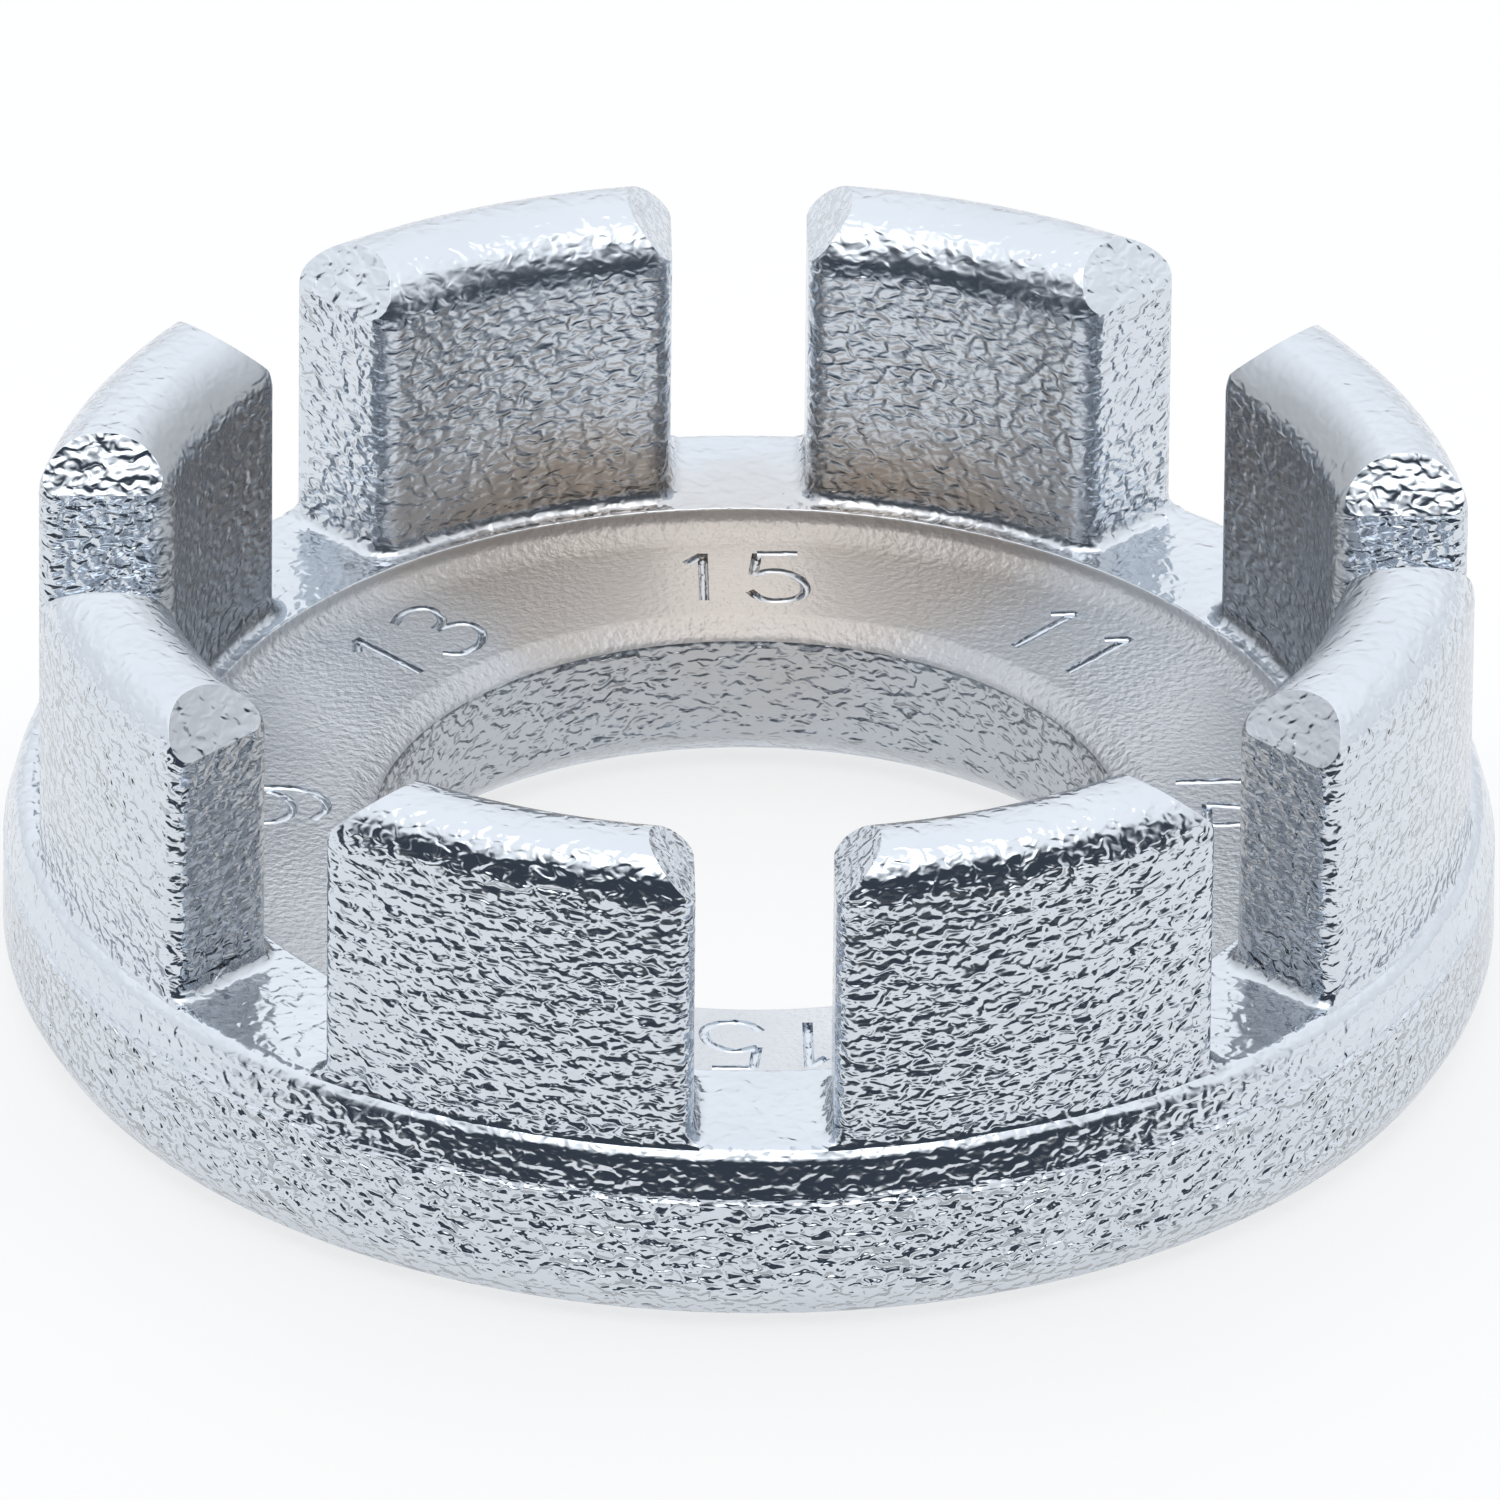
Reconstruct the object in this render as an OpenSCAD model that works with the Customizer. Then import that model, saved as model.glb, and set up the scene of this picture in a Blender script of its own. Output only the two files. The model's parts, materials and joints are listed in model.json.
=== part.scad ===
// Round spoke wrench: one cast ring with eight upstanding jaws. The slots
// between the jaws are the wrench mouths, each to suit one nipple size.
// Units are millimetres. The ring stands on Z = 0 with its axis on Z.

/* [Ring] */
// outside diameter of the ring
rim_d = 38; // [36:0.5:42]
// diameter of the hole through the middle
bore_d = 19.1; // [16:0.1:20]
// height of the slot floors above the base
floor_h = 5.05; // [4.6:0.05:6]
// height of the parting line on the rim
parting_h = 3.6; // [2.5:0.1:4]
// how far the rim leans in above the parting line
rim_draft = 0.1; // [0.05:0.05:0.2]
// radius of the rim's top edge
shoulder_r = 0.2; // [0.1:0.05:0.25]
// width of the bevel round the bottom edge
base_bevel_w = 0.6; // [0.3:0.1:1]
// height of the bevel round the bottom edge
base_bevel_h = 0.8; // [0.3:0.1:1.2]
// 45 degree bevel under the hole
bore_bevel = 0.95; // [0.3:0.05:1.2]

/* [Dish] */
// flat land between the jaws' inner wall and the step
land_w = 0.85; // [0.6:0.05:1.2]
// depth of the step down from the slot floors
step_h = 0.38; // [0.2:0.02:0.6]
// radius in the corner under the step
cove_r = 0.25; // [0.1:0.05:0.3]
// width of the level ring at the foot of the step
ledge_w = 0.9; // [0.6:0.1:1.2]
// fall of the numbered dish towards the hole
dish_fall = 0.5; // [0.1:0.05:0.6]
// width of the bevel round the top of the hole
lip_w = 0.6; // [0.2:0.1:0.8]
// height of the bevel round the top of the hole
lip_h = 0.4; // [0.2:0.05:0.8]

/* [Jaws] */
// step in from the rim to the jaws' outer wall
jaw_setback = 0.6; // [0.6:0.05:0.9]
// thickness of a jaw from outer to inner wall
jaw_t = 3.4; // [3.2:0.1:4]
// height of the jaws above the slot floors
jaw_h = 7.8; // [6:0.1:10]
// radius of the outer top edge
crest_r = 1.3; // [0.8:0.1:1.5]
// width of the flat along the crest
crest_w = 0.6; // [0.3:0.1:0.8]
// fall of the inner top slope
slope_h = 1.1; // [0.6:0.1:1.5]
// radius of the slope's gentle swell
slope_r = 5; // [4:0.5:12]
// radius of the jaws' upright corners
corner_r = 0.55; // [0.4:0.05:0.7]
// radius of the fillet round each jaw's foot
root_r = 0.3; // [0.2:0.05:0.3]
// how far a mouth's foot fillets stop short of the round corners
root_stop = 0.1; // [0.05:0.05:0.4]

/* [Mouths] */
// slot for 14 gauge nipples
slot_14 = 3.65; // [3:0.05:5]
// slot for 11 gauge nipples
slot_11 = 4.5; // [3:0.05:5.5]
// first slot for 15 gauge nipples, at the back
slot_15a = 3.5; // [3:0.05:5]
// slot for 13 gauge nipples
slot_13 = 3.8; // [3:0.05:5]
// slot for 9 gauge nipples
slot_9 = 6; // [4:0.05:6.5]
// slot for 10 gauge nipples
slot_10 = 4.95; // [3:0.05:6]
// second slot for 15 gauge nipples, at the front
slot_15b = 3.5; // [3:0.05:5]
// slot for 12 gauge nipples
slot_12 = 4; // [3:0.05:5]
// widening of each mouth at its top, on each side
lead_w = 1.15; // [0.6:0.05:1.4]
// depth of the widened part of each mouth
lead_h = 1.2; // [0.6:0.1:2]

/* [Hidden] */
$fn = 96;
rim_r = rim_d / 2;
bore_r = bore_d / 2;
jaw_ro = rim_r - jaw_setback;
jaw_ri = jaw_ro - jaw_t;
top_z = floor_h + jaw_h;
over_z = top_z + lead_h;
corner_ro = jaw_ro - corner_r;
corner_ri = jaw_ri + corner_r;
tongue = corner_r / 2;
step_r = jaw_ri - land_w;
ledge_r = step_r - ledge_w;
lip_r = bore_r + lip_w;
ledge_z = floor_h - step_h;
lip_z = ledge_z - dish_fall;
crest_ri = jaw_ro - crest_r - crest_w;
// the mouths share the circle evenly, counted from +X towards +Y
mouth_count = 8;
pitch = 360 / mouth_count;

// height of the slope's circle above its chord
slope_w = crest_ri - jaw_ri;
slope_len = norm([slope_w, slope_h]);
slope_off = sqrt(pow(slope_r, 2) - pow(slope_len / 2, 2));
slope_c = [
    (crest_ri + jaw_ri) / 2 + slope_off * slope_h / slope_len,
    top_z - slope_h / 2 - slope_off * slope_w / slope_len
];

module ring_section() {
    polygon([
        [bore_r + bore_bevel, 0],
        [rim_r - base_bevel_w, 0],
        [rim_r, base_bevel_h],
        [rim_r, parting_h],
        [rim_r - rim_draft, floor_h - shoulder_r],
        [rim_r - rim_draft - shoulder_r, floor_h],
        [step_r, floor_h],
        [step_r, ledge_z],
        [ledge_r, ledge_z],
        [lip_r, lip_z],
        [bore_r, lip_z - lip_h],
        [bore_r, bore_bevel]
    ]);
    // round the shoulder out to the rim
    translate([rim_r - rim_draft - shoulder_r, floor_h - shoulder_r]) intersection() {
        circle(shoulder_r);
        square(shoulder_r);
    }
    // cove in the corner under the step
    translate([step_r - cove_r, ledge_z]) difference() {
        square(cove_r);
        translate([0, cove_r]) circle(cove_r);
    }
}

module ring() {
    color("silver") rotate_extrude() ring_section();
}

// the concave fillet at a foot, with a tongue that reaches into the jaw
module root_section() {
    difference() {
        translate([-tongue, 0]) square([tongue + root_r, root_r]);
        translate([root_r, root_r]) circle(root_r);
    }
}

// a jaw's section: crest, rounded outer edge, swelling inner slope and feet
module jaw_section() {
    translate([crest_ri, floor_h]) square([crest_w, jaw_h]);
    translate([crest_ri, floor_h]) square([jaw_ro - crest_ri, jaw_h - crest_r]);
    translate([jaw_ro - crest_r, top_z - crest_r]) intersection() {
        circle(crest_r);
        square(crest_r);
    }
    translate([jaw_ri, floor_h]) square([slope_w, jaw_h - slope_h]);
    intersection() {
        translate([jaw_ri, top_z - slope_h]) square([slope_w, slope_h]);
        translate(slope_c) circle(slope_r);
    }
    translate([jaw_ro, floor_h]) root_section();
    translate([jaw_ri, floor_h]) mirror([1, 0]) root_section();
}

// where the centres of a mouth's corners lie: along the mouth, and as an angle
function along(half_w, r) = sqrt(pow(r, 2) - pow(half_w + corner_r, 2));
function corner_a(half_w, r) = asin((half_w + corner_r) / r);

// what a mouth along +X takes from the jaw beside it, on its +Y side
module mouth_cut(half_w) {
    yc = half_w + corner_r;
    translate([0, half_w - rim_r, 0]) cube([rim_r, rim_r, over_z]);
    translate([0, half_w, top_z - lead_h]) rotate([90, 0, 90]) linear_extrude(rim_r)
        polygon([[-lead_w, 0], [0, 0], [2 * lead_w, 2 * lead_h], [-lead_w, 2 * lead_h]]);
    translate([along(half_w, corner_ro), yc, 0]) corner_cut(-90, corner_a(half_w, corner_ro));
    translate([along(half_w, corner_ri), yc, 0]) corner_cut(180 + corner_a(half_w, corner_ri), 270);
}

// the wedge between angles a and b, less the round corner that stays
module corner_cut(a, b) {
    reach = 1.5 * corner_r;
    mid = (a + b) / 2;
    difference() {
        linear_extrude(over_z) polygon([
            [0, 0],
            reach * [cos(a), sin(a)],
            2 * reach * [cos(mid), sin(mid)],
            reach * [cos(b), sin(b)]
        ]);
        cylinder(h = over_z, r = corner_r);
    }
}

// the fillet at the foot of a mouth's wall, almost from corner to corner
module mouth_root(half_w) {
    from = along(half_w, corner_ri) + root_stop;
    to = along(half_w, corner_ro) - root_stop;
    translate([from, half_w, floor_h]) rotate([90, 0, 90])
        linear_extrude(to - from) mirror([1, 0]) root_section();
}

// a jaw between its place's mouth, of width_0, and the next one round, of width_1
module jaw(place, width_0, width_1) {
    rotate(place * pitch) {
        difference() {
            rotate_extrude(angle = pitch) jaw_section();
            mouth_cut(width_0 / 2);
            rotate(pitch) mirror([0, 1, 0]) mouth_cut(width_1 / 2);
        }
        mouth_root(width_0 / 2);
        rotate(pitch) mirror([0, 1, 0]) mouth_root(width_1 / 2);
    }
}

// each jaw is named for the two mouths that it stands between
module jaw_14_11() {
    color("lightsteelblue") jaw(0, slot_14, slot_11);
}

module jaw_11_15() {
    color("gainsboro") jaw(1, slot_11, slot_15a);
}

module jaw_15_13() {
    color("lightsteelblue") jaw(2, slot_15a, slot_13);
}

module jaw_13_9() {
    color("gainsboro") jaw(3, slot_13, slot_9);
}

module jaw_9_10() {
    color("lightsteelblue") jaw(4, slot_9, slot_10);
}

module jaw_10_15() {
    color("gainsboro") jaw(5, slot_10, slot_15b);
}

module jaw_15_12() {
    color("lightsteelblue") jaw(6, slot_15b, slot_12);
}

module jaw_12_14() {
    color("gainsboro") jaw(7, slot_12, slot_14);
}

ring();
jaw_14_11();
jaw_11_15();
jaw_15_13();
jaw_13_9();
jaw_9_10();
jaw_10_15();
jaw_15_12();
jaw_12_14();
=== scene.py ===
# %% [markdown]
# # A round spoke wrench
# The real tool is one steel casting: a low ring with a crown of eight jaws. The slots between the jaws
# are the mouths that grip the square of a spoke nipple, and a number beside each gives its gauge.
# The ring is cast, plated with bright nickel, and only the numbered dish in the middle is turned smooth.
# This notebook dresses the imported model: every node gets a piece with the rounded edges, the foot
# fillets, the stamped numbers and the rippled skin that the plain solids leave out.

# %% Load the frame
import json
import math

import bmesh
import bpy
from mathutils import Matrix, Vector, noise


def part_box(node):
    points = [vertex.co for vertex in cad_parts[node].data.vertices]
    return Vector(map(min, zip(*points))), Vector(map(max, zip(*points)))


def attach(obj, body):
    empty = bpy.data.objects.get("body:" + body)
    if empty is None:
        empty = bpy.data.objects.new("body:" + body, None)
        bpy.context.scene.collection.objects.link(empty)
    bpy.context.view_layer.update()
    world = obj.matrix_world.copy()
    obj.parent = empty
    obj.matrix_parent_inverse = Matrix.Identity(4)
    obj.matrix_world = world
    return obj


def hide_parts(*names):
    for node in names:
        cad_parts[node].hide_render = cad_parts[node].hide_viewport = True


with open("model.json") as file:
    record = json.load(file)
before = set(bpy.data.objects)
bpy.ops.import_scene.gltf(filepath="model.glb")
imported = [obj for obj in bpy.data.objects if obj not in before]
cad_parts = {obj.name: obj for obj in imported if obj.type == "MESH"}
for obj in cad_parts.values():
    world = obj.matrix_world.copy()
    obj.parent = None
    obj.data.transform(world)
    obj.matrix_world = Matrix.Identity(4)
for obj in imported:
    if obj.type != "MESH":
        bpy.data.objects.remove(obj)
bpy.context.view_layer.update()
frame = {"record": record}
MM = 0.001

# %% [markdown]
# ## Sizes
# Everything is worked out in millimetres and turned into metres once, when a mesh is finished.
# The rim, the crown, the hole and the plane where the solids meet come from the frame, so they always
# fit the solids. The rest are the sizes that the solids were drawn with. Only the slot floors, the step
# and the dish are moved, by a few tenths of a millimetre, to where the photograph shows them.
# Each mouth has its gauge number and its width. They are counted from +X towards +Y.

# %% Sizes of the ring and the jaws, in millimetres
FLOOR_LOWERED = 0.18
JAW_SETBACK = 0.6
JAW_T = 3.4
LAND_W = 0.52
COVE_W = 0.58
DISH_DEPTH = 0.63
DISH_FALL = 0.09
LIP_W = 0.65
RIM_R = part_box("ring")[1].x / MM
FLOOR_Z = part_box("ring")[1].z / MM - FLOOR_LOWERED
TOP_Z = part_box("jaw_14_11")[1].z / MM
BORE_R = frame["record"]["mounts"][0]["dims"]["r_mm"]
JAW_RO = RIM_R - JAW_SETBACK
JAW_RI = JAW_RO - JAW_T
STEP_R = JAW_RI - LAND_W
DISH_R = STEP_R - COVE_W
DISH_Z = FLOOR_Z - DISH_DEPTH
LIP_R = BORE_R + LIP_W
LIP_Z = DISH_Z - DISH_FALL
HOLE_Z = 3.77
MOUTHS = [("14", 3.65), ("11", 4.5), ("15", 3.5), ("13", 3.8), ("9", 6.0), ("10", 4.95), ("15", 3.5),
          ("12", 4.0)]
PITCH = 2 * math.pi / len(MOUTHS)
print("rim radius %.2f, floors at %.2f, crown at %.2f, hole radius %.2f" % (RIM_R, FLOOR_Z, TOP_Z, BORE_R))

# %% [markdown]
# ## Helpers
# `node` adds one shader node with its settings and its links. `linear` turns the hex colour that a
# paint chart or a colour picker gives into the linear values that the renderer works in.
# `finish_piece` makes an object of a bmesh: it lies in the row frame, at the origin, rides on the
# wrench's only body and hides the solid of the node it replaces.

# %% Helpers for nodes, colours and pieces
def linear(code):
    channels = [int(code[i:i + 2], 16) / 255 for i in (1, 3, 5)]
    return [c / 12.92 if c <= 0.04045 else ((c + 0.055) / 1.055) ** 2.4 for c in channels] + [1]


def node(tree, kind, inputs=None, **settings):
    made = tree.nodes.new(kind)
    for name, value in settings.items():
        setattr(made, name, value)
    for socket, value in (inputs or {}).items():
        if isinstance(value, bpy.types.NodeSocket):
            tree.links.new(value, made.inputs[socket])
        else:
            made.inputs[socket].default_value = value
    return made


SHARP_ANGLE = math.radians(32)


def finish_piece(bm, name, replaced, materials):
    bmesh.ops.remove_doubles(bm, verts=bm.verts, dist=1e-4)
    bmesh.ops.recalc_face_normals(bm, faces=bm.faces)
    bmesh.ops.scale(bm, vec=(MM, MM, MM), verts=bm.verts)
    mesh = bpy.data.meshes.new(name)
    bm.to_mesh(mesh)
    bm.free()
    piece = bpy.data.objects.new(name, mesh)
    bpy.context.scene.collection.objects.link(piece)
    for material in materials:
        mesh.materials.append(material)
    mesh.shade_smooth()
    mesh.set_sharp_from_angle(angle=SHARP_ANGLE)
    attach(piece, "root")
    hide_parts(replaced)
    return piece


# %% [markdown]
# ## Painted shade inside the crown
# Inside the crown the jaws shade one another and the nickel reflects itself, so there the plate is painted a
# little darker and, low down at the back, brownish: painted warm shade, not a change in the plate itself.
# The function below paints that brown cloud, an egg-shaped space with an uneven edge.

# %% Painted warm shade in the recess
CLOUD_MIDDLE = (-0.5 * MM, 12.5 * MM, 4.2 * MM)
CLOUD_REACH = (11 * MM, 5.5 * MM, 4.2 * MM)
CLOUD_EDGE = 2.5 * MM
CLOUD_UNEVEN = 0.6


# Paints warm shade: 1 in the middle of the cloud, fading to 0 at its uneven edge.
def warm_shade_cloud(tree, place):
    from_middle = node(tree, "ShaderNodeVectorMath", {0: place, 1: CLOUD_MIDDLE}, operation="SUBTRACT")
    scaled = node(tree, "ShaderNodeVectorMath", {0: from_middle.outputs["Vector"], 1: CLOUD_REACH},
                  operation="DIVIDE")
    reach = node(tree, "ShaderNodeVectorMath", {0: scaled.outputs["Vector"]}, operation="LENGTH")
    clouds = node(tree, "ShaderNodeTexNoise", {"Vector": place, "Scale": 1 / CLOUD_EDGE, "Detail": 2})
    edge = node(tree, "ShaderNodeMath", {
        0: clouds.outputs["Fac"], 1: CLOUD_UNEVEN, 2: reach.outputs["Value"]}, operation="MULTIPLY_ADD")
    return node(tree, "ShaderNodeMapRange", {
        "Value": edge.outputs["Value"], "From Min": 0.75, "From Max": 1.35, "To Min": 1.0, "To Max": 0.0},
        interpolation_type="SMOOTHSTEP").outputs["Result"]


# The reach of the cloud of painted warm shade.
print("thin plating within", [round(c / MM, 1) for c in CLOUD_REACH], "mm of its middle")

# %% [markdown]
# Two more masks find the crown's inside. `facing_inward` compares the surface's normal with the way out
# from the axis. The second mask multiplies a point's place along X by its normal along X: the product is
# well below nothing only on walls at one side that face the other side. It adds the wall of the hole, and
# these walls get painted shade: a darker plate colour.

# %% Masks for the crown's inside; the second one places painted shade
HIDDEN_FROM = -9 * MM
HIDDEN_TO = -3 * MM
HOLE_FROM = 9.8 * MM
HOLE_TO = 10.2 * MM
HOLE_SHARE = 0.65


def facing_inward(tree, place, normal):
    flat = node(tree, "ShaderNodeVectorMath", {0: place, 1: (1, 1, 0)}, operation="MULTIPLY")
    outward = node(tree, "ShaderNodeVectorMath", {0: flat.outputs["Vector"]}, operation="NORMALIZE")
    facing = node(tree, "ShaderNodeVectorMath", {0: normal, 1: outward.outputs["Vector"]},
                  operation="DOT_PRODUCT")
    return node(tree, "ShaderNodeMapRange", {
        "Value": facing.outputs["Value"], "From Min": -0.8, "From Max": -0.2, "To Min": 1.0,
        "To Max": 0.0}).outputs["Result"]


# Painted shade: 1 on side walls that face the other side, part of it on the wall of the hole.
def side_and_hole_shade(tree, place, normal):
    product = node(tree, "ShaderNodeVectorMath", {0: place, 1: normal}, operation="MULTIPLY")
    across = node(tree, "ShaderNodeSeparateXYZ", {0: product.outputs["Vector"]}).outputs["X"]
    side = node(tree, "ShaderNodeMapRange", {
        "Value": across, "From Min": HIDDEN_FROM, "From Max": HIDDEN_TO, "To Min": 1.0, "To Max": 0.0})
    flat = node(tree, "ShaderNodeVectorMath", {0: place, 1: (1, 1, 0)}, operation="MULTIPLY")
    radius = node(tree, "ShaderNodeVectorMath", {0: flat.outputs["Vector"]}, operation="LENGTH")
    hole = node(tree, "ShaderNodeMapRange", {
        "Value": radius.outputs["Value"], "From Min": HOLE_FROM, "From Max": HOLE_TO,
        "To Min": HOLE_SHARE, "To Max": 0.0})
    return node(tree, "ShaderNodeMath", {0: side.outputs["Result"], 1: hole.outputs["Result"]},
                operation="MAXIMUM").outputs["Value"]


# %% [markdown]
# ## The cast skin
# Investment castings come out of a ceramic mould with a fine ripple, and bright nickel plating copies it
# and makes it shine. To the eye that is a mirror with many small dents: dark and white strokes where it
# faces the room, an even pale grey where it faces the white tent. So the metal is clean and smooth, and
# the ripple is bump, with dents about a third of a millimetre wide, a little flattened. It is strongest
# on the rim, weaker on level faces and inside the crown, and weakest on the flank above the parting line.
# The shares below say how much of the ripple each of these keeps.

# %% Nickel plate over cast steel
RIPPLE_W = 0.36 * MM
RIPPLE_DEPTH = 0.22 * MM
SWELL_W = 1.1 * MM
SWELL_DEPTH = 0.045 * MM
PATCH_W = 3.5 * MM
FLATTENED = (1, 1, 1.5)
RIM_SHARE = 1.6
FLANK_SHARE = 0.5
JAW_GAIN = 0.5
LEVEL_SHARE = 0.38
INSIDE_LOSS = -0.45
RIM_ENDS = (3.5 * MM, 3.8 * MM)
JAWS_START = (4.65 * MM, 5.1 * MM)
PLATE = ("#D4DBE3", "#DEE4EB")
# Brownish colour of the painted warm shade on upright walls inside the cloud.
WARM_SHADE_COLOUR = "#C6BCB2"
# Darker plate colour: painted shade on walls that face each other and on the wall of the hole.
SIDE_SHADE_COLOUR = "#AFB3B8"


def cast_nickel_plate():
    material = bpy.data.materials.new("cast_nickel_plate")
    material.use_nodes = True
    tree = material.node_tree
    shader = tree.nodes["Principled BSDF"]
    shader.inputs["Metallic"].default_value = 1
    place = node(tree, "ShaderNodeTexCoord").outputs["Object"]
    flat = node(tree, "ShaderNodeMapping", {"Vector": place, "Scale": FLATTENED}).outputs["Vector"]
    ripple = node(tree, "ShaderNodeTexNoise", {
        "Vector": flat, "Scale": 1 / RIPPLE_W, "Detail": 0.4, "Roughness": 0.5, "Distortion": 0.7})
    swell = node(tree, "ShaderNodeTexNoise", {"Vector": flat, "Scale": 1 / SWELL_W, "Detail": 1})
    patches = node(tree, "ShaderNodeTexNoise", {"Vector": place, "Scale": 1 / PATCH_W, "Detail": 1})
    uneven = node(tree, "ShaderNodeMapRange", {
        "Value": patches.outputs["Fac"], "From Min": 0.35, "From Max": 0.65, "To Min": 0.7, "To Max": 1.0})
    normal = node(tree, "ShaderNodeNewGeometry").outputs["Normal"]
    facing = node(tree, "ShaderNodeSeparateXYZ", {0: normal})
    under = node(tree, "ShaderNodeMath", {0: facing.outputs["Z"], 1: -0.6}, operation="MULTIPLY")
    level = node(tree, "ShaderNodeMath", {0: facing.outputs["Z"], 1: under.outputs["Value"]},
                 operation="MAXIMUM")
    upright = node(tree, "ShaderNodeMapRange", {
        "Value": level.outputs["Value"], "From Min": 0.2, "From Max": 0.55, "To Min": 1.0,
        "To Max": LEVEL_SHARE})
    z = node(tree, "ShaderNodeSeparateXYZ", {0: place}).outputs["Z"]
    rim = node(tree, "ShaderNodeMapRange", {
        "Value": z, "From Min": RIM_ENDS[0], "From Max": RIM_ENDS[1], "To Min": RIM_SHARE,
        "To Max": FLANK_SHARE})
    wall = node(tree, "ShaderNodeMapRange", {
        "Value": z, "From Min": JAWS_START[0], "From Max": JAWS_START[1], "To Min": 0.0,
        "To Max": JAW_GAIN})
    zone = node(tree, "ShaderNodeMath", {0: rim.outputs["Result"], 1: wall.outputs["Result"]},
                operation="ADD")
    inward = facing_inward(tree, place, normal)
    soft = node(tree, "ShaderNodeMath", {0: inward, 1: INSIDE_LOSS, 2: 1.0}, operation="MULTIPLY_ADD")
    amount = uneven.outputs["Result"]
    for share in (zone, soft, upright):
        amount = node(tree, "ShaderNodeMath", {0: amount, 1: share.outputs[0]},
                      operation="MULTIPLY").outputs["Value"]
    fine = node(tree, "ShaderNodeMath", {0: ripple.outputs["Fac"], 1: amount}, operation="MULTIPLY")
    broad = node(tree, "ShaderNodeBump", {
        "Height": swell.outputs["Fac"], "Strength": 1, "Distance": SWELL_DEPTH})
    skin = node(tree, "ShaderNodeBump", {
        "Height": fine.outputs["Value"], "Strength": 1, "Distance": RIPPLE_DEPTH,
        "Normal": broad.outputs["Normal"]})
    tree.links.new(skin.outputs["Normal"], shader.inputs["Normal"])
    clean = node(tree, "ShaderNodeMix", {
        "Factor": patches.outputs["Fac"], 6: linear(PLATE[0]), 7: linear(PLATE[1])}, data_type="RGBA")
    # Painted warm shade: the plate colour turns brownish inside the cloud, on upright walls only.
    warm_shade = node(tree, "ShaderNodeMath", {
        0: warm_shade_cloud(tree, place), 1: upright.outputs["Result"]}, operation="MULTIPLY")
    grey = node(tree, "ShaderNodeMix", {
        "Factor": warm_shade.outputs["Value"], 6: clean.outputs[2], 7: linear(WARM_SHADE_COLOUR)}, data_type="RGBA")
    # Painted shade: the plate colour turns darker on side walls facing each other and on the hole wall.
    side_shade = node(tree, "ShaderNodeMix", {
        "Factor": side_and_hole_shade(tree, place, normal), 6: grey.outputs[2], 7: linear(SIDE_SHADE_COLOUR)},
        data_type="RGBA")
    tree.links.new(side_shade.outputs[2], shader.inputs["Base Color"])
    satin = node(tree, "ShaderNodeMath", {0: inward, 1: 0.12, 2: 0.14}, operation="MULTIPLY_ADD")
    tree.links.new(satin.outputs["Value"], shader.inputs["Roughness"])
    return material


CAST = cast_nickel_plate()
print(CAST.name, len(CAST.node_tree.nodes), "nodes, dents", round(RIPPLE_W / MM, 2), "mm wide")

# %% [markdown]
# ## The turned dish
# The dish, its step and the lip of the hole are cut on a lathe after casting. A lathe leaves rings as far
# apart as its feed, here about a seventh of a millimetre. They scatter light across themselves and hardly
# along, which the shader calls anisotropic: the tangent runs round the axis and is turned a quarter.

# %% Turned steel under the same plate
FEED = 0.14 * MM
RING_DEPTH = 0.002 * MM
GRAIN_W = 0.2 * MM
GRAIN_DEPTH = 0.05 * MM
TONE_W = 4 * MM
TURNED_PLATE = ("#D2D5DA", "#EDEFF2")
# Brownish colour of the painted warm shade on the dish, inside the same cloud as on the cast plate.
TURNED_WARM_SHADE_COLOUR = "#DDD5CE"


def turned_nickel_plate():
    material = bpy.data.materials.new("turned_nickel_plate")
    material.use_nodes = True
    tree = material.node_tree
    shader = tree.nodes["Principled BSDF"]
    shader.inputs["Metallic"].default_value = 1
    place = node(tree, "ShaderNodeTexCoord").outputs["Object"]
    rings = node(tree, "ShaderNodeTexWave", {
        "Vector": place, "Scale": math.pi / 10 / FEED, "Distortion": 0.6, "Detail": 1, "Detail Scale": 2.0},
        wave_type="RINGS", rings_direction="Z")
    grain = node(tree, "ShaderNodeTexNoise", {"Vector": place, "Scale": 1 / GRAIN_W, "Detail": 2})
    cloud = node(tree, "ShaderNodeTexNoise", {"Vector": place, "Scale": 1 / TONE_W, "Detail": 2})
    soft = node(tree, "ShaderNodeBump", {
        "Height": grain.outputs["Fac"], "Strength": 1, "Distance": GRAIN_DEPTH})
    cut = node(tree, "ShaderNodeBump", {
        "Height": rings.outputs["Fac"], "Strength": 1, "Distance": RING_DEPTH,
        "Normal": soft.outputs["Normal"]})
    tree.links.new(cut.outputs["Normal"], shader.inputs["Normal"])
    clean = node(tree, "ShaderNodeMix", {
        "Factor": cloud.outputs["Fac"], 6: linear(TURNED_PLATE[0]), 7: linear(TURNED_PLATE[1])},
        data_type="RGBA")
    # Painted warm shade: the dish turns brownish inside the cloud.
    grey = node(tree, "ShaderNodeMix", {
        "Factor": warm_shade_cloud(tree, place), 6: clean.outputs[2], 7: linear(TURNED_WARM_SHADE_COLOUR)},
        data_type="RGBA")
    tree.links.new(grey.outputs[2], shader.inputs["Base Color"])
    around = node(tree, "ShaderNodeTangent", direction_type="RADIAL", axis="Z")
    tree.links.new(around.outputs["Tangent"], shader.inputs["Tangent"])
    shader.inputs["Anisotropic"].default_value = 0.8
    shader.inputs["Anisotropic Rotation"].default_value = 0.25
    shader.inputs["Roughness"].default_value = 0.48
    return material


TURNED = turned_nickel_plate()
print(TURNED.name, len(TURNED.node_tree.nodes), "nodes, rings", round(FEED / MM, 2), "mm apart")

# %% [markdown]
# ## The ring
# A ring is one outline spun round an axis. The outline starts as a face with few corners, each corner is
# rounded by a vertex bevel with its own radius, and spin sweeps the edges through a full turn.
# A corner in the list has its distance from the axis, its height, and the radius of its rounding.

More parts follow.
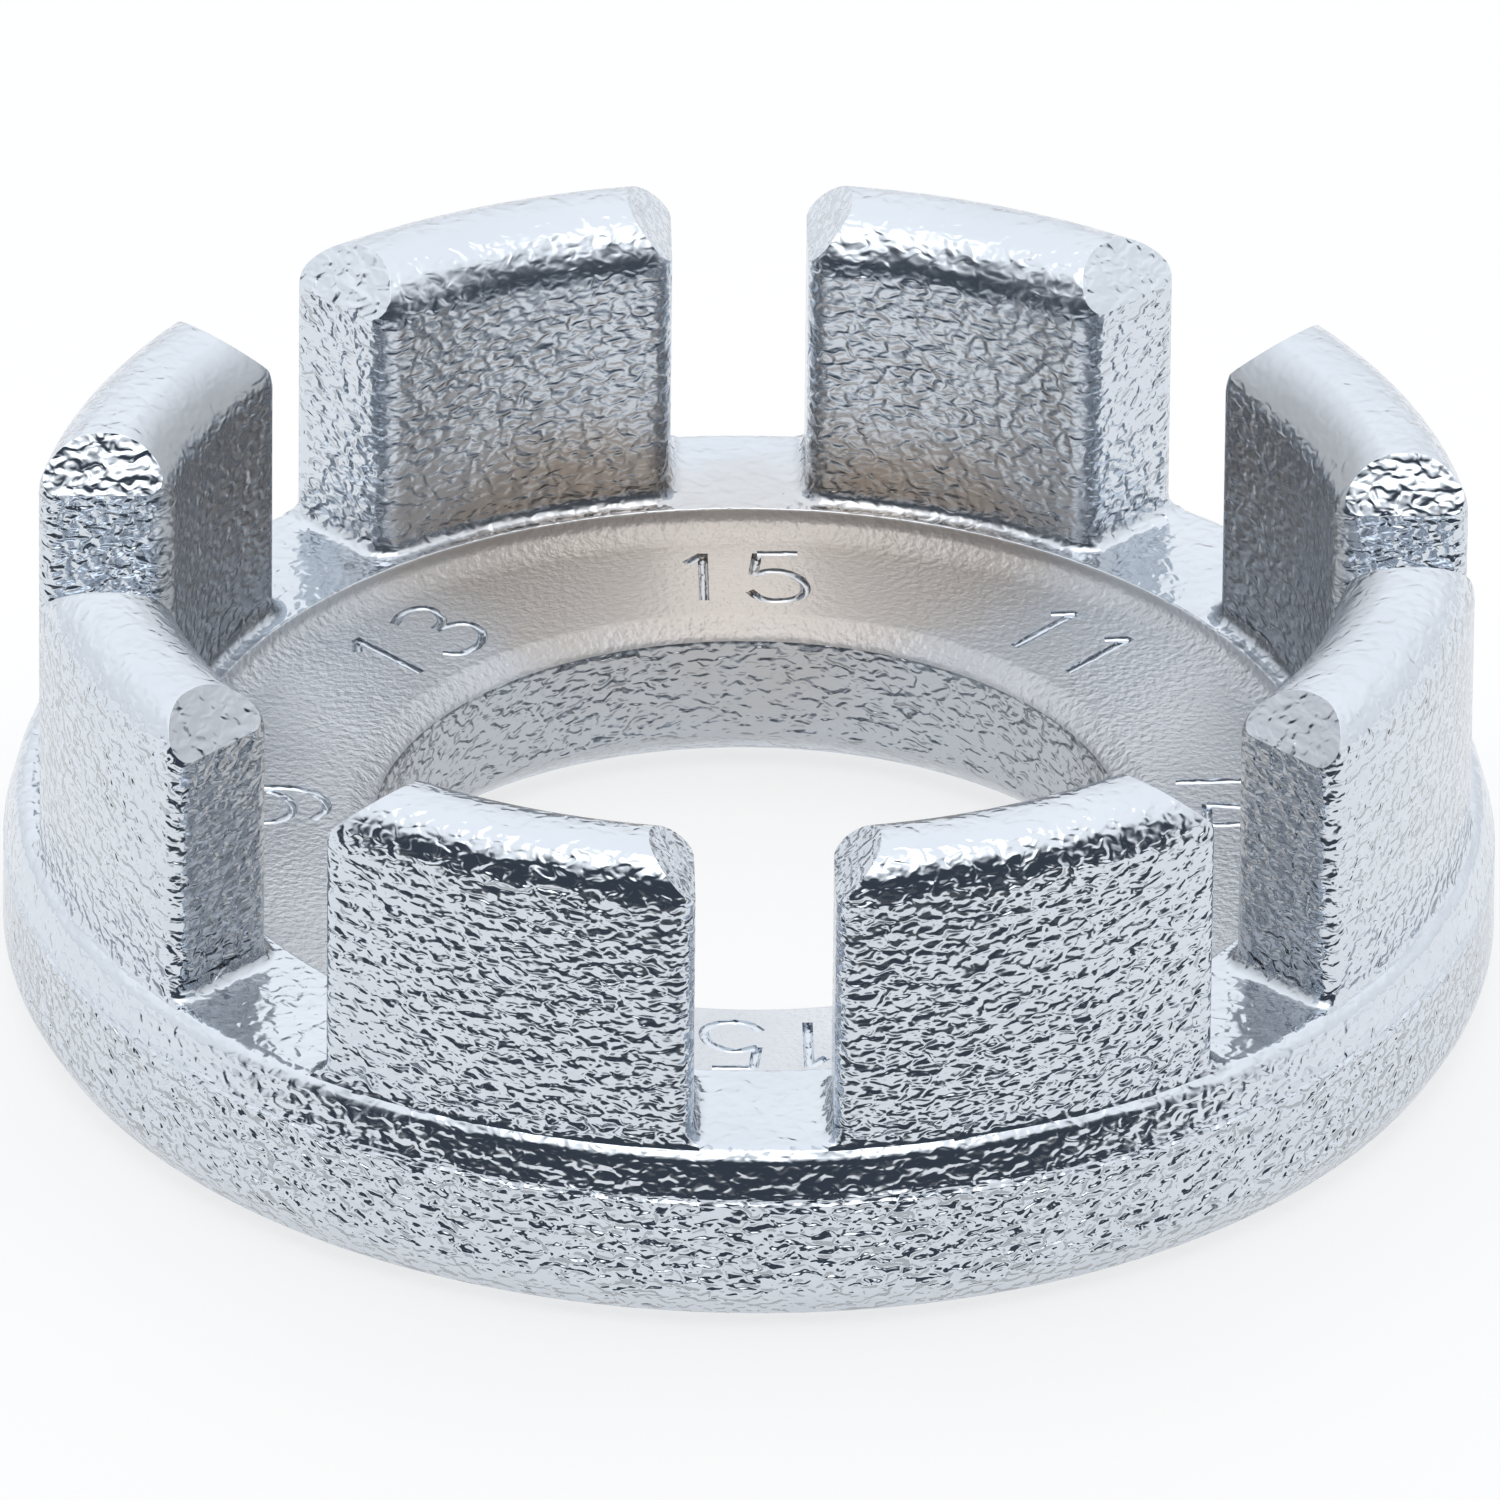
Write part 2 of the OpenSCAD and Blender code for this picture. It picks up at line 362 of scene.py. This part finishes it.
# %% Outline of the ring
PARTING_Z = 3.6
BASE_BEVEL_W = 0.6
BASE_BEVEL_H = 1.0
BORE_BEVEL = 0.95
CORNER_SEGMENTS = 6
RING_CORNERS = [
    (BORE_R + BORE_BEVEL, 0.0, 0.2),
    (RIM_R - BASE_BEVEL_W, 0.0, 0.25),
    (RIM_R, BASE_BEVEL_H, 0.3),
    (RIM_R, PARTING_Z - 0.09, 0),
    (RIM_R - 0.06, PARTING_Z - 0.02, 0),
    (RIM_R - 0.02, PARTING_Z + 0.08, 0),
    (RIM_R - 0.29, FLOOR_Z - 0.24, 0.1),
    (RIM_R - 0.6, FLOOR_Z, 0.15),
    (STEP_R, FLOOR_Z, 0.08),
    (STEP_R, DISH_Z + 0.31, 0.14),
    (DISH_R, DISH_Z, 0.25),
    (LIP_R, LIP_Z, 0.08),
    (BORE_R, HOLE_Z, 0.15),
    (BORE_R, BORE_BEVEL, 0.15),
]


def ring_outline():
    bm = bmesh.new()
    corners = [bm.verts.new((r, 0, z)) for r, z, _ in RING_CORNERS]
    bm.faces.new(corners)
    for corner, (_, _, radius) in zip(corners, RING_CORNERS):
        if radius:
            bmesh.ops.bevel(bm, geom=[corner], offset=radius, offset_type="OFFSET",
                            segments=CORNER_SEGMENTS, profile=0.5, affect="VERTICES", material=-1,
                            clamp_overlap=False)
    bmesh.ops.delete(bm, geom=bm.faces[:], context="FACES_ONLY")
    print("ring outline:", len(bm.verts), "corners after rounding")
    return bm


# %% [markdown]
# The parting line is where the two halves of the mould met. It is never quite straight, so the points
# near it are moved a few hundredths of a millimetre up, down and inwards by a slow noise. The bevel round
# the slot floors was left as cast, so its lower edge wavers in the same way.

# %% Spin the ring
SPIN_STEPS = 288
SLOW_WAVER = 0.07
QUICK_WAVER = 0.04
INWARD_WAVER = 0.0014
PARTING_DEPTH = 0.3
PARTING_BAND = 0.2
EDGE_WAVER = 0.05
EDGE_DEPTH = 0.5
EDGE_ABOVE = 0.8


def waver(bm):
    for vert in bm.verts:
        radius = vert.co.xy.length
        if radius > RIM_R - PARTING_DEPTH and abs(vert.co.z - PARTING_Z) < PARTING_BAND:
            slow = noise.noise(Vector((vert.co.x, vert.co.y, 0)) * 0.9)
            quick = noise.noise(Vector((vert.co.x, vert.co.y, 7)) * 2.6)
            vert.co.z += SLOW_WAVER * slow + QUICK_WAVER * quick
            vert.co.xy *= 1 - INWARD_WAVER * (0.5 + 0.5 * quick)
        elif radius > RIM_R - EDGE_DEPTH and vert.co.z > PARTING_Z + EDGE_ABOVE:
            vert.co.z += EDGE_WAVER * noise.noise(Vector((vert.co.x, vert.co.y, 3)) * 1.6)


TURNED_SEAM = 0.02


def spun_ring():
    bm = ring_outline()
    bmesh.ops.spin(bm, geom=bm.verts[:] + bm.edges[:], cent=(0, 0, 0), axis=(0, 0, 1), angle=2 * math.pi,
                   steps=SPIN_STEPS, use_merge=True)
    bmesh.ops.remove_doubles(bm, verts=bm.verts, dist=1e-4)
    waver(bm)
    for face in bm.faces:
        centre = face.calc_center_median()
        inside = BORE_R + TURNED_SEAM < centre.xy.length < STEP_R + TURNED_SEAM
        face.material_index = 1 if inside and centre.z > PARTING_Z else 0
    return bm


ring = finish_piece(spun_ring(), "cast_ring", "ring", [CAST, TURNED])
print("ring:", len(ring.data.polygons), "faces")

# %% [markdown]
# ## The numbers
# The gauge numbers are stamped into the dish beside each mouth, with their heads towards the rim. Each
# digit is a few pen strokes. A stroke is a thin round bar laid on the dish, and cutting the bars out of
# the ring leaves the grooves. A few numbers stand a little to one side of their mouth, as stamped by hand.

# %% Pen strokes of the digits, one unit high
STROKES = {
    "0": [[(0.31, 1), (0.02, 0.72), (0.02, 0.28), (0.31, 0), (0.6, 0.28), (0.6, 0.72), (0.31, 1)]],
    "1": [[(0.12, 0.78), (0.3, 0.97)], [(0.31, 1), (0.31, 0)]],
    "2": [[(0.02, 0.76), (0.14, 0.96), (0.38, 0.99), (0.58, 0.78), (0.46, 0.5), (0.2, 0.22), (0.03, 0.02)],
          [(0.03, 0.02), (0.6, 0.02)]],
    "3": [[(0.03, 0.93), (0.28, 1.02), (0.52, 0.95), (0.54, 0.78), (0.46, 0.62), (0.28, 0.55)],
          [(0.28, 0.53), (0.45, 0.5), (0.6, 0.42), (0.63, 0.25), (0.5, 0.04), (0.27, -0.03), (0.1, 0.0),
           (-0.02, 0.14)]],
    "4": [[(0.0, 0.32), (0.14, 1)], [(0.0, 0.32), (0.66, 0.32)], [(0.45, 0.7), (0.45, 0)]],
    "5": [[(0.54, 1), (0.1, 1)], [(0.1, 1), (0.05, 0.55)],
          [(0.05, 0.55), (0.29, 0.63), (0.5, 0.52), (0.61, 0.3), (0.57, 0.1), (0.34, -0.01), (0.14, 0.03),
           (0.0, 0.2)]],
    "9": [[(0.64, 0.7), (0.47, 0.41), (0.22, 0.31), (-0.03, 0.42), (-0.1, 0.68), (0.02, 0.92), (0.26, 1),
           (0.52, 0.92), (0.64, 0.7), (0.66, 0.45), (0.62, 0.2), (0.45, 0.0), (0.2, -0.05), (-0.03, 0.1)]],
}
GLYPH_MIDDLE = 0.31
DIGIT_H = 2.36
DIGIT_GAP = 1.9
NUMBER_R = 12.07
NUMBER_SHIFTS = (-0.4, -0.1, 0.0, 0.15, 0.3, 0.0, -0.3, 0.0)
GROOVE_R = 0.14
GROOVE_LIFT = 0.03


def dish_z(r):
    return LIP_Z + (DISH_Z - LIP_Z) * min(max((r - LIP_R) / (DISH_R - LIP_R), 0), 1)


print("dish under the numbers at z %.2f" % dish_z(NUMBER_R))

# %% [markdown]
# A curve with a round bevel is a bar. All the bars become one mesh, the cutter, and an exact boolean takes
# it out of the ring. The cutter carries the ring's materials, so the grooves show the cast plate.

# %% Lay the strokes on the dish and cut them out
def stroke_curves():
    data = bpy.data.curves.new("strokes", "CURVE")
    data.dimensions = "3D"
    data.bevel_depth = GROOVE_R * MM
    data.bevel_resolution = 4
    data.resolution_u = 5
    data.use_fill_caps = True
    for i, (number, _) in enumerate(MOUTHS):
        outward = Vector((math.cos(i * PITCH), math.sin(i * PITCH), 0))
        reading = Vector((outward.y, -outward.x, 0))
        for k, digit in enumerate(number):
            shift = NUMBER_SHIFTS[i] + (k - (len(number) - 1) / 2) * DIGIT_GAP
            for stroke in STROKES[digit]:
                spline = data.splines.new("BEZIER")
                spline.bezier_points.add(len(stroke) - 1)
                for point, (x, y) in zip(spline.bezier_points, stroke):
                    flat = outward * (NUMBER_R + (y - 0.5) * DIGIT_H)
                    flat += reading * (shift + (x - GLYPH_MIDDLE) * DIGIT_H)
                    flat.z = dish_z(flat.length) + GROOVE_LIFT
                    point.co = flat * MM
                    point.handle_left_type = point.handle_right_type = "AUTO"
    return bpy.data.objects.new("strokes", data)


def cut_numbers(piece):
    strokes = stroke_curves()
    bpy.context.scene.collection.objects.link(strokes)
    bars = bpy.data.meshes.new_from_object(strokes.evaluated_get(bpy.context.evaluated_depsgraph_get()))
    bpy.data.objects.remove(strokes)
    for material in piece.data.materials:
        bars.materials.append(material)
    for polygon in bars.polygons:
        polygon.material_index = 0
    cutter = bpy.data.objects.new("cutter", bars)
    bpy.context.scene.collection.objects.link(cutter)
    cut = piece.modifiers.new("numbers", "BOOLEAN")
    cut.operation = "DIFFERENCE"
    cut.solver = "EXACT"
    cut.use_self = True
    cut.object = cutter
    result = bpy.data.meshes.new_from_object(piece.evaluated_get(bpy.context.evaluated_depsgraph_get()))
    piece.modifiers.clear()
    piece.data = result
    result.shade_smooth()
    result.set_sharp_from_angle(angle=SHARP_ANGLE)
    bpy.data.objects.remove(cutter)
    print("ring with numbers:", len(result.polygons), "faces")


# %% [markdown]
# A long flat face next to the tiny faces of a rounded edge is shaded as if it were bent. Weighted normals
# let the large face decide, so the flat stays flat and only the round edge catches the light.

# %% Even out the normals
def even_normals(piece):
    piece.modifiers.new("even_normals", "WEIGHTED_NORMAL").keep_sharp = True


cut_numbers(ring)
even_normals(ring)

# %% [markdown]
# ## A jaw, modelled straight
# A jaw is a curved block between two flat mouth walls that aren't parallel. It is easier to model
# it straight, as a bar along X, and to bend it round the ring at the end.

# %% Sizes of a jaw
CREST_R = 1.3
CREST_W = 0.6
CREST_EDGE_R = 0.3
CREST_RI = JAW_RO - CREST_R - CREST_W
SLOPE_H = 1.1
SHOULDER_W = 0.8
SHOULDER_DROP = 0.3
SHOULDER_R = 0.4
SHOULDER_Y = CREST_RI - SHOULDER_W
SHOULDER_Z = TOP_Z - SHOULDER_DROP
LEAD_W = 1.15
LEAD_H = 1.2
CORNER_R = 0.55
FOOT_R = 0.42
EDGE_R = 0.1
CREASE_R = 0.36
OUTER_FOOT_R = 0.6
OUTER_FOOT_TOP = FLOOR_Z + 0.24
OUTER_FOOT_TURN = math.radians(45)
BURIED = 0.3
NEAR = 1e-3


def edges_along(bm, y, z):
    return [e for e in bm.edges if all(abs(v.co.y - y) < NEAR and abs(v.co.z - z) < NEAR for v in e.verts)]


def bevel(bm, edges, offset, segments):
    bmesh.ops.bevel(bm, geom=edges, offset=offset, offset_type="OFFSET", segments=segments, profile=0.5,
                    affect="EDGES", material=-1, clamp_overlap=True)
    bm.normal_update()


def cut_away(bm, point, normal):
    made = bmesh.ops.bisect_plane(bm, geom=bm.verts[:] + bm.edges[:] + bm.faces[:], plane_co=point,
                                  plane_no=normal, clear_outer=True)
    rim = [g for g in made["geom_cut"] if isinstance(g, bmesh.types.BMEdge)]
    filled = bmesh.ops.edgeloop_fill(bm, edges=rim)["faces"]
    bm.normal_update()
    return filled


# %% [markdown]
# The foot fillet is grown, not bevelled: the bottom face is extruded in small steps that follow a
# quarter circle, and at each step its outline grows outwards by the same amount all round. The way
# outwards at a corner is the way from the centre of that corner's round. A few more steps straight down
# bury the foot in the ring, so no gap shows under it.

# %% Grow a foot
FOOT_STEPS = 8
BURIED_STEPS = 5


def grow_foot(bm, length):
    home = bm.verts.layers.float_vector.new("home")
    way = bm.verts.layers.float_vector.new("way")
    base = min(bm.faces, key=lambda f: f.calc_center_median().z)
    for vert in base.verts:
        core = Vector((min(max(vert.co.x, CORNER_R), length - CORNER_R),
                       min(max(vert.co.y, JAW_RI + CORNER_R), JAW_RO - CORNER_R), vert.co.z))
        vert[home] = vert.co
        vert[way] = (vert.co - core).normalized()
    turns = [math.pi / 2 * k / FOOT_STEPS for k in range(1, FOOT_STEPS + 1)]
    steps = [(FOOT_R * (1 - math.cos(t)), FOOT_R * (1 - math.sin(t))) for t in turns]
    below = [(FOOT_R, -BURIED * k / BURIED_STEPS) for k in range(1, BURIED_STEPS + 1)]
    for grow, height in steps + below:
        grown = bmesh.ops.extrude_face_region(bm, geom=[base])["geom"]
        bmesh.ops.delete(bm, geom=[base], context="FACES_ONLY")
        base = next(g for g in grown if isinstance(g, bmesh.types.BMFace))
        for vert in base.verts:
            vert.co = vert[home] + vert[way] * grow
            vert.co.z = FLOOR_Z + height
    bm.normal_update()


# %% [markdown]
# The jaw itself is a block. Two planes cut the inner slope, which is flatter next to the crest and steeper
# below the shoulder, and bevels round the long edges. Then the upright corners are rounded, and last come
# the lead-ins: a slanting plane at each end cuts the widened top of a mouth.

# %% Model the straight jaw
def straight_jaw(length):
    bm = bmesh.new()
    low = Vector((0, JAW_RI, FLOOR_Z + FOOT_R))
    high = Vector((length, JAW_RO, TOP_Z))
    bmesh.ops.create_cube(bm, size=1, matrix=Matrix.Translation((low + high) / 2)
                          @ Matrix.Diagonal((*(high - low), 1)))
    crease_z = TOP_Z - SLOPE_H
    cut_away(bm, (0, CREST_RI, TOP_Z), (0, SHOULDER_Z - TOP_Z, CREST_RI - SHOULDER_Y))
    cut_away(bm, (0, JAW_RI, crease_z), (0, crease_z - SHOULDER_Z, SHOULDER_Y - JAW_RI))
    bevel(bm, edges_along(bm, JAW_RO, TOP_Z), CREST_R, segments=10)
    bevel(bm, edges_along(bm, CREST_RI, TOP_Z), CREST_EDGE_R, segments=5)
    bevel(bm, edges_along(bm, SHOULDER_Y, SHOULDER_Z), SHOULDER_R, segments=5)
    bevel(bm, edges_along(bm, JAW_RI, crease_z), CREASE_R, segments=6)
    caps = [f for f in bm.faces if abs(f.normal.x) > 0.99]
    outline = [e for f in caps for e in f.edges if max(v.co.z for v in e.verts) > low.z + NEAR]
    bevel(bm, outline, CORNER_R, segments=6)
    facets = cut_away(bm, (0, 0, TOP_Z - LEAD_H), (-LEAD_H, 0, LEAD_W))
    facets += cut_away(bm, (length, 0, TOP_Z - LEAD_H), (LEAD_H, 0, LEAD_W))
    bevel(bm, list({e for f in facets for e in f.edges}), EDGE_R, segments=3)
    grow_foot(bm, length)
    return bm


# %% [markdown]
# ## Bend the jaw round the ring
# Near each end the bend has to be a plain move, or the mouth walls wouldn't stay flat and parallel.
# So a point has two places, one measured from each wall, and a smooth step mixes them along the jaw.
# On the outer side the foot flares out steeply over the ring's bevel instead of running out level.

# %% Bend a jaw
MIX_FROM = 0.2
MIX_SPAN = 0.6
SLICE_W = 0.4


def bend(bm, length, width_0, width_1):
    for vert in bm.verts:
        along, radius, height = vert.co
        if radius > JAW_RO + NEAR:
            drop = (OUTER_FOOT_TOP - height) / OUTER_FOOT_R
            turn = math.asin(min(max(drop, 0), math.sin(OUTER_FOOT_TURN)))
            radius = JAW_RO + OUTER_FOOT_R * (1 - math.cos(turn))
        share = min(max((along / length - MIX_FROM) / MIX_SPAN, 0), 1)
        share = share * share * (3 - 2 * share)
        from_0 = math.asin((width_0 / 2 + along) / radius)
        from_1 = PITCH - math.asin((width_1 / 2 + length - along) / radius)
        angle = from_0 + (from_1 - from_0) * share
        vert.co = (radius * math.cos(angle), radius * math.sin(angle), height)


def jaw_mesh(width_0, width_1):
    mean_r = (JAW_RO + JAW_RI) / 2
    length = mean_r * (PITCH - math.asin(width_0 / 2 / mean_r) - math.asin(width_1 / 2 / mean_r))
    bm = straight_jaw(length)
    steps = round((length - 2 * LEAD_W) / SLICE_W)
    for i in range(steps + 1):
        at = LEAD_W + SLICE_W / 2 + (length - 2 * LEAD_W - SLICE_W) * i / steps
        bmesh.ops.bisect_plane(bm, geom=bm.verts[:] + bm.edges[:] + bm.faces[:], plane_co=(at, 0, 0),
                               plane_no=(1, 0, 0))
    bend(bm, length, width_0, width_1)
    return bm


# %% Make the eight jaws
for i, (number, width) in enumerate(MOUTHS):
    next_number, next_width = MOUTHS[(i + 1) % len(MOUTHS)]
    bm = jaw_mesh(width, next_width)
    bmesh.ops.rotate(bm, matrix=Matrix.Rotation(i * PITCH, 3, "Z"), verts=bm.verts)
    node_name = f"jaw_{number}_{next_number}"
    jaw = finish_piece(bm, "cast_" + node_name, node_name, [CAST])
    even_normals(jaw)
    print(node_name, len(jaw.data.polygons), "faces")

# %% [markdown]
# ## The studio
# Bright metal shows what stands round it, so the light is a white tent, open towards the lens. The floor
# is white paper, and it is as white in the metal's reflections as it is to the lens, which is why the
# same lift is given to camera rays and to glossy rays. The object's shadow stays on it.

# %% Floor
SHEET_HALF = 1.2
PAPER_LIFT = 0.7


def white_paper():
    material = bpy.data.materials.new("white_paper")
    material.use_nodes = True
    tree = material.node_tree
    shader = tree.nodes["Principled BSDF"]
    shader.inputs["Base Color"].default_value = linear("#969696")
    shader.inputs["Roughness"].default_value = 0.9
    path = node(tree, "ShaderNodeLightPath")
    seen = node(tree, "ShaderNodeMath", {0: path.outputs["Is Camera Ray"], 1: path.outputs["Is Glossy Ray"]},
                operation="MAXIMUM")
    glow = node(tree, "ShaderNodeEmission", {"Color": (1, 1, 1, 1), "Strength": PAPER_LIFT})
    none = node(tree, "ShaderNodeEmission", {"Strength": 0.0})
    lift = node(tree, "ShaderNodeMixShader", {
        0: seen.outputs["Value"], 1: none.outputs[0], 2: glow.outputs[0]})
    both = node(tree, "ShaderNodeAddShader", {0: shader.outputs[0], 1: lift.outputs[0]})
    tree.links.new(both.outputs[0], tree.nodes["Material Output"].inputs["Surface"])
    return material


def flat_sheet(name, half_size, height, material):
    bm = bmesh.new()
    bmesh.ops.create_grid(bm, x_segments=1, y_segments=1, size=half_size,
                          matrix=Matrix.Translation((0, 0, height)))
    mesh = bpy.data.meshes.new(name)
    bm.to_mesh(mesh)
    bm.free()
    mesh.materials.append(material)
    sheet = bpy.data.objects.new(name, mesh)
    bpy.context.scene.collection.objects.link(sheet)
    return sheet


floor = flat_sheet("floor", SHEET_HALF, 0.0, white_paper())
print("floor:", round(2 * SHEET_HALF, 1), "m square,", floor.data.materials[0].name)

# %% [markdown]
# Metal on plain white looks like paper. A photographer lays a dark card on the table towards the lens,
# just outside the picture, and each ripple that leans that way shows it as a dark stroke. The card here
# fades in over some millimetres, so it has no hard edge, and it acts on reflections alone: the lens, the
# floor and the soft light don't see it.

# %% Dark card for the reflections
CARD_HEIGHT = 0.2 * MM
CARD_STARTS = -27 * MM
CARD_FULL = -43 * MM


def graduated_card():
    material = bpy.data.materials.new("graduated_card")
    material.use_nodes = True
    tree = material.node_tree
    shader = tree.nodes["Principled BSDF"]
    shader.inputs["Base Color"].default_value = linear("#4C4F54")
    shader.inputs["Roughness"].default_value = 0.9
    place = node(tree, "ShaderNodeTexCoord").outputs["Object"]
    along = node(tree, "ShaderNodeSeparateXYZ", {0: place}).outputs["Y"]
    cover = node(tree, "ShaderNodeMapRange", {
        "Value": along, "From Min": CARD_FULL, "From Max": CARD_STARTS, "To Min": 1.0, "To Max": 0.0},
        interpolation_type="SMOOTHSTEP")
    tree.links.new(cover.outputs["Result"], shader.inputs["Alpha"])
    return material


card = flat_sheet("card", SHEET_HALF, CARD_HEIGHT, graduated_card())
for vert in card.data.vertices:
    vert.co.y = min(vert.co.y, CARD_STARTS)
card.visible_camera = False
card.visible_diffuse = False
card.visible_transmission = False
card.visible_shadow = False
print("card from", round(CARD_STARTS / MM), "mm, full from", round(CARD_FULL / MM), "mm along Y")

# %% [markdown]
# The tent is the world's own light: a pale dome, brighter overhead, with a shaded hem where it meets the
# table. On the lens's side it has an opening like a doorway, wide to both sides and some fifty degrees
# high, with soft edges. The dark room behind it is what gives bright metal its dark strokes. One large
# lamp overhead gives the crowns of the jaws their hard white highlight.

# %% Light tent
CAM_AZIMUTH = math.radians(-91.39)
CAM_ELEVATION = math.radians(29.47)
DOME_WAY = (0, 0.34, 0.94)
DOME_EDGE = math.cos(math.radians(66))
DOME_CORE = math.cos(math.radians(24))
DOOR_SIDE = math.cos(math.radians(86))
DOOR_INSIDE = math.cos(math.radians(58))
DOOR_TOP_FROM = math.sin(math.radians(42))
DOOR_TOP_TO = math.sin(math.radians(62))
CLOTH_COLOUR = (0.975, 0.99, 1.015, 1)
ROOM_COLOUR = "#3C444E"


def light_tent():
    world = bpy.data.worlds.new("light_tent")
    world.use_nodes = True
    tree = world.node_tree
    bpy.context.scene.world = world
    way = node(tree, "ShaderNodeTexCoord").outputs["Generated"]
    height = node(tree, "ShaderNodeSeparateXYZ", {0: way}).outputs["Z"]
    upward = node(tree, "ShaderNodeVectorMath", {0: way, 1: DOME_WAY}, operation="DOT_PRODUCT")
    dome = node(tree, "ShaderNodeMapRange", {
        "Value": upward.outputs["Value"], "From Min": DOME_EDGE, "From Max": DOME_CORE, "To Min": 0.94,
        "To Max": 1.14}, interpolation_type="SMOOTHSTEP")
    hem = node(tree, "ShaderNodeMapRange", {
        "Value": height, "From Min": 0.04, "From Max": 0.2, "To Min": 0.9, "To Max": 1.0},
        interpolation_type="SMOOTHSTEP")
    cloth = node(tree, "ShaderNodeMath", {0: dome.outputs["Result"], 1: hem.outputs["Result"]},
                 operation="MULTIPLY")
    flat = node(tree, "ShaderNodeVectorMath", {0: way, 1: (1, 1, 0)}, operation="MULTIPLY")
    course = node(tree, "ShaderNodeVectorMath", {0: flat.outputs["Vector"]}, operation="NORMALIZE")
    toward = node(tree, "ShaderNodeVectorMath", {
        0: course.outputs["Vector"], 1: (math.cos(CAM_AZIMUTH), math.sin(CAM_AZIMUTH), 0)},
        operation="DOT_PRODUCT")
    across = node(tree, "ShaderNodeMapRange", {
        "Value": toward.outputs["Value"], "From Min": DOOR_SIDE, "From Max": DOOR_INSIDE, "To Min": 0.0,
        "To Max": 1.0}, interpolation_type="SMOOTHSTEP")
    under = node(tree, "ShaderNodeMapRange", {
        "Value": height, "From Min": DOOR_TOP_FROM, "From Max": DOOR_TOP_TO, "To Min": 1.0,
        "To Max": 0.0}, interpolation_type="SMOOTHSTEP")
    doorway = node(tree, "ShaderNodeMath", {0: across.outputs["Result"], 1: under.outputs["Result"]},
                   operation="MULTIPLY")
    white = node(tree, "ShaderNodeBackground", {
        "Color": CLOTH_COLOUR, "Strength": cloth.outputs["Value"]})
    dark = node(tree, "ShaderNodeBackground", {"Color": linear(ROOM_COLOUR), "Strength": 1.0})
    both = node(tree, "ShaderNodeMixShader", {
        0: doorway.outputs["Value"], 1: white.outputs[0], 2: dark.outputs[0]})
    tree.links.new(both.outputs[0], tree.nodes["World Output"].inputs["Surface"])


def softbox(name, place, size, watts):
    data = bpy.data.lights.new(name, "AREA")
    data.shape = "RECTANGLE"
    data.size, data.size_y = size
    data.energy = watts
    lamp = bpy.data.objects.new(name, data)
    lamp.location = place
    lamp.rotation_euler = (-Vector(place)).to_track_quat("-Z", "Y").to_euler()
    lamp.visible_camera = False
    bpy.context.scene.collection.objects.link(lamp)
    return lamp


light_tent()
overhead = softbox("overhead", place=(0.0, -0.12, 0.6), size=(0.42, 0.34), watts=0.4)
print("tent:", len(bpy.context.scene.world.node_tree.nodes), "nodes; lamp:", overhead.data.energy, "W")

# %% [markdown]
# ## The camera
# The photograph was taken with a very long lens from 29.5 degrees above the table, so the lines hardly
# converge. The camera is turned a little about its own axis, as the picture is.

# %% Camera
CAM_DISTANCE = 926.8 * MM
CAM_LENS = 874.9
CAM_ROLL = math.radians(0.57)
AIM = Vector((0, 0, 5.9)) * MM

camera_data = bpy.data.cameras.new("camera")
camera_data.lens = CAM_LENS
camera_data.sensor_width = 36
camera_data.clip_start = 0.01
camera = bpy.data.objects.new("camera", camera_data)
outward = Vector((math.cos(CAM_AZIMUTH) * math.cos(CAM_ELEVATION),
                  math.sin(CAM_AZIMUTH) * math.cos(CAM_ELEVATION), math.sin(CAM_ELEVATION)))
camera.location = AIM + outward * CAM_DISTANCE
roll = Matrix.Rotation(CAM_ROLL, 3, "Z").to_quaternion()
camera.rotation_euler = (outward.to_track_quat("Z", "Y") @ roll).to_euler()
bpy.context.scene.collection.objects.link(camera)
bpy.context.scene.camera = camera
bpy.context.scene.view_settings.view_transform = "Standard"
print("camera at, mm:", [round(c / MM, 1) for c in camera.location])
